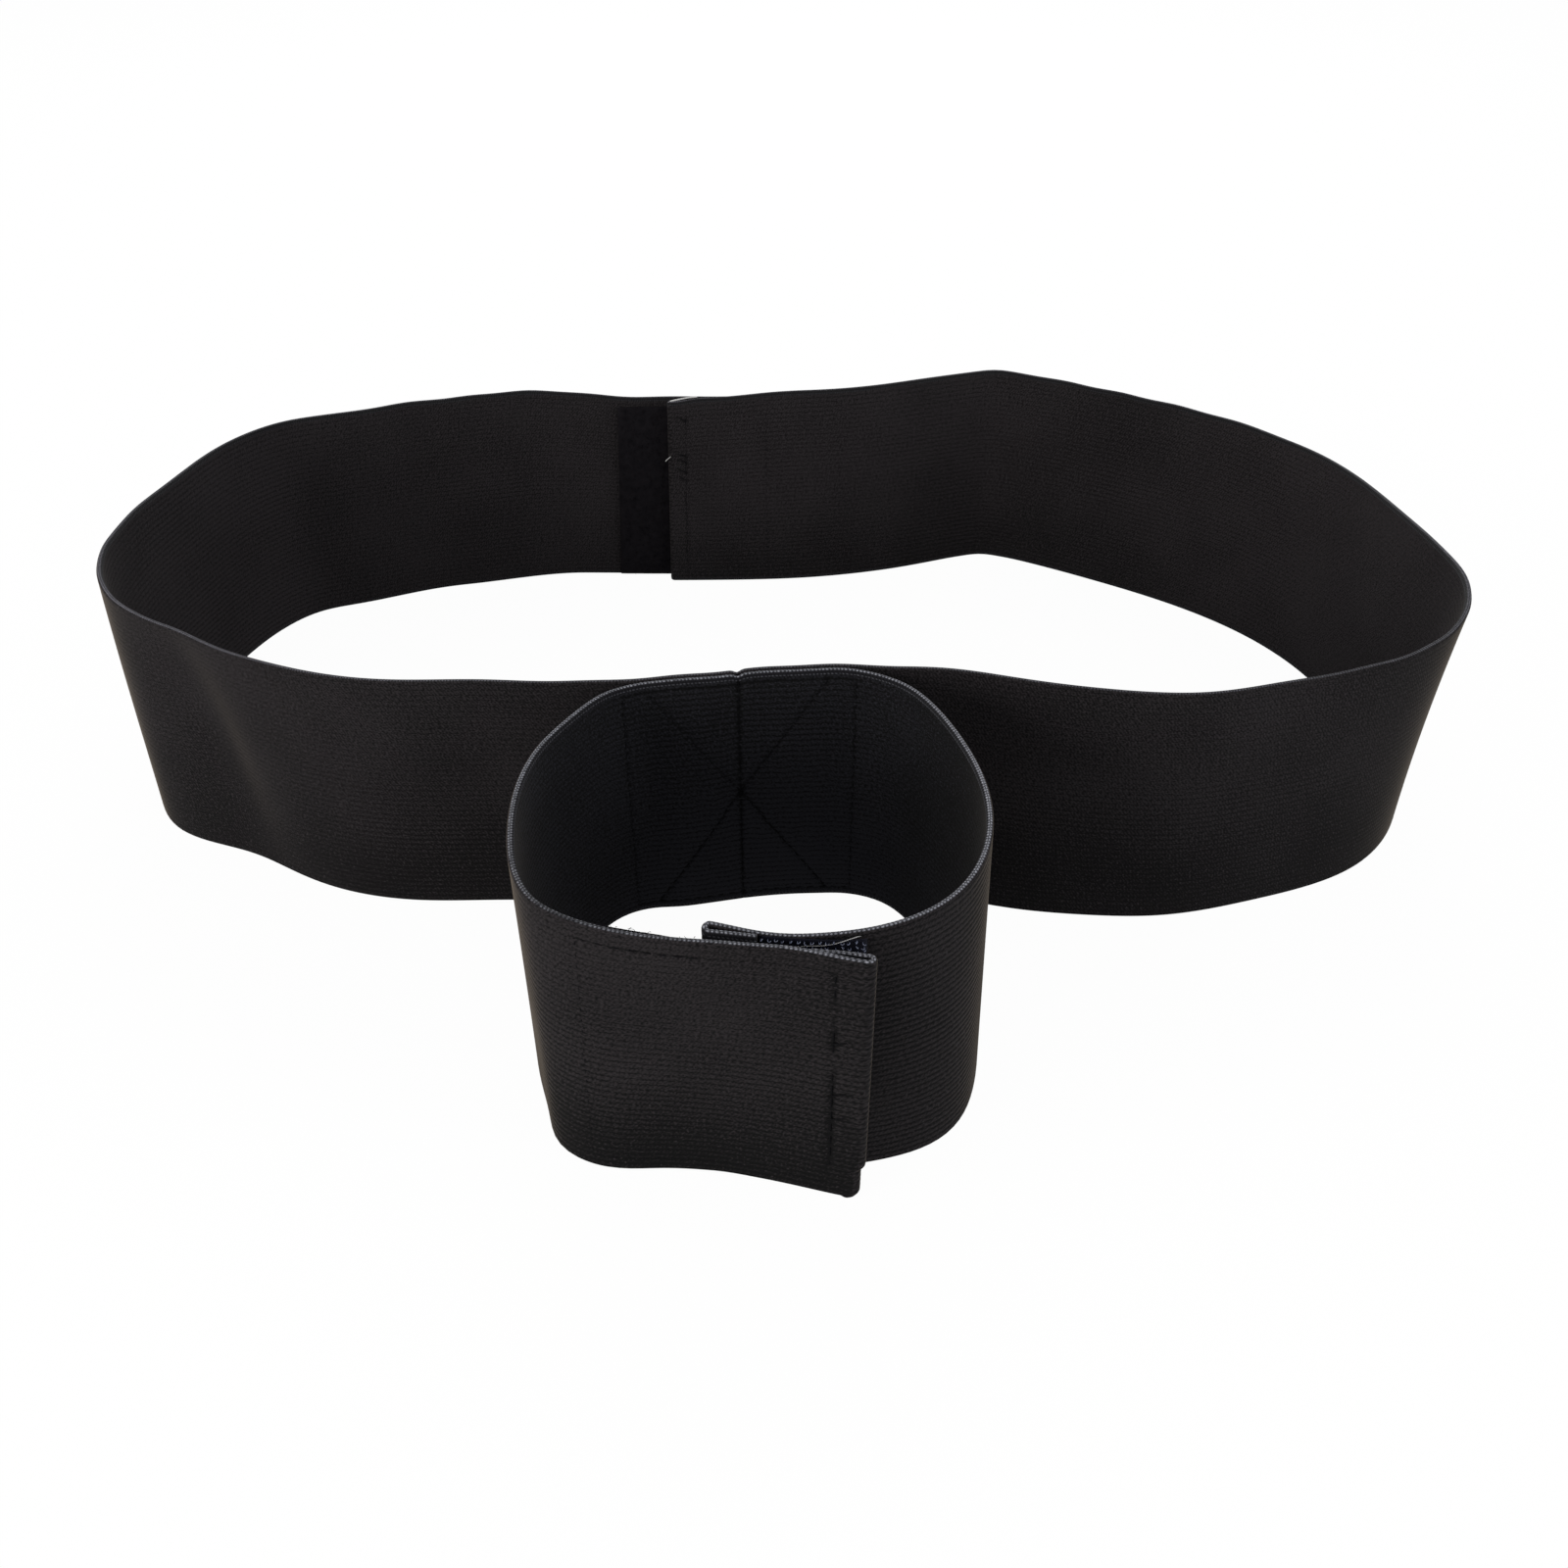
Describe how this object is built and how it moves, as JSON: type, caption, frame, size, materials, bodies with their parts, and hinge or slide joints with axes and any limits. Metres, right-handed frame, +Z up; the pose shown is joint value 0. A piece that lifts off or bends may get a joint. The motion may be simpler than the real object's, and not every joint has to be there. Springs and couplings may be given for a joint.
{
  "type": "two-loop elastic belt",
  "caption": "Wide elastic waist loop standing on edge, with a small cuff loop sewn to its front by a boxed and crossed seam; both close with hook-and-loop tape.",
  "frame": {"origin": "centre of the base of the bounding box of the fastened belt, on the surface that it stands on", "axes": "+X to the belt's right along its longest side, +Y from the cuff to the back of the waist loop, +Z up along the strips' width"},
  "size_m": [0.3938, 0.3106, 0.075],
  "materials": {
    "elastic": "matt ribbed knit, warm black",
    "cuff_elastic": "matt ribbed knit, cool black",
    "loop_tape": "brushed pile, dull",
    "hook_tape": "rows of fine hooks with a slight glint",
    "thread": "twisted sewing thread, slight sheen"
  },
  "bodies": {
    "belt_front": {"waist_front": "elastic", "cuff_panel": "cuff_elastic", "seam_needle_thread": "thread", "seam_bobbin_thread": "thread"},
    "left_side": {"waist_left_side": "elastic"},
    "left_back": {"waist_left_back": "elastic"},
    "outer_end": {"waist_outer_end": "elastic", "waist_loop_tape": "loop_tape", "waist_loop_stitching": "thread"},
    "right_side": {"waist_right_side": "elastic"},
    "inner_end": {"waist_inner_end": "elastic", "waist_hook_tape": "hook_tape", "waist_hook_stitching": "thread"},
    "cuff_left": {"cuff_left_side": "cuff_elastic"},
    "cuff_end": {"cuff_flap": "cuff_elastic", "cuff_loop_tape": "loop_tape", "cuff_loop_stitching": "thread"},
    "cuff_right": {"cuff_right_side": "cuff_elastic", "cuff_hook_tape": "hook_tape", "cuff_hook_stitching": "thread"}
  },
  "joints": [
    {"name": "waist_open", "type": "hinge", "parent": "belt_front", "child": "left_side", "pos_m": [-0.16753, -0.02362, 0.0375], "axis": [0, 0, 1], "range_deg": [0, 45]},
    {"name": "waist_open_left_back", "type": "hinge", "parent": "left_side", "child": "left_back", "pos_m": [-0.16468, 0.11147, 0.0375], "axis": [0, 0, 1], "range_deg": [0, 36]},
    {"name": "waist_peel", "type": "hinge", "parent": "left_back", "child": "outer_end", "pos_m": [-0.06269, 0.13917, 0.0375], "axis": [0, 0, 1], "range_deg": [0, 80]},
    {"name": "waist_open_right", "type": "hinge", "parent": "belt_front", "child": "right_side", "pos_m": [0.18045, -0.02817, 0.0375], "axis": [0, 0, -1], "range_deg": [0, 22.5]},
    {"name": "waist_open_right_back", "type": "hinge", "parent": "right_side", "child": "inner_end", "pos_m": [0.17403, 0.08991, 0.0375], "axis": [0, 0, -1], "range_deg": [0, 18]},
    {"name": "cuff_open", "type": "hinge", "parent": "belt_front", "child": "cuff_left", "pos_m": [-0.04039, -0.0566, 0.0375], "axis": [0, 0, -1], "range_deg": [0, 50]},
    {"name": "cuff_peel", "type": "hinge", "parent": "cuff_left", "child": "cuff_end", "pos_m": [-0.04528, -0.13851, 0.0375], "axis": [0, 0, -1], "range_deg": [0, 80]},
    {"name": "cuff_open_right", "type": "hinge", "parent": "belt_front", "child": "cuff_right", "pos_m": [0.02543, -0.0495, 0.0375], "axis": [0, 0, 1], "range_deg": [0, 25]}
  ],
  "couplings": [
    {"joint": "waist_open_left_back", "follows": "waist_open", "ratio": 0.8},
    {"joint": "waist_open_right", "follows": "waist_open", "ratio": 0.5},
    {"joint": "waist_open_right_back", "follows": "waist_open", "ratio": 0.4},
    {"joint": "cuff_open_right", "follows": "cuff_open", "ratio": 0.5}
  ]
}
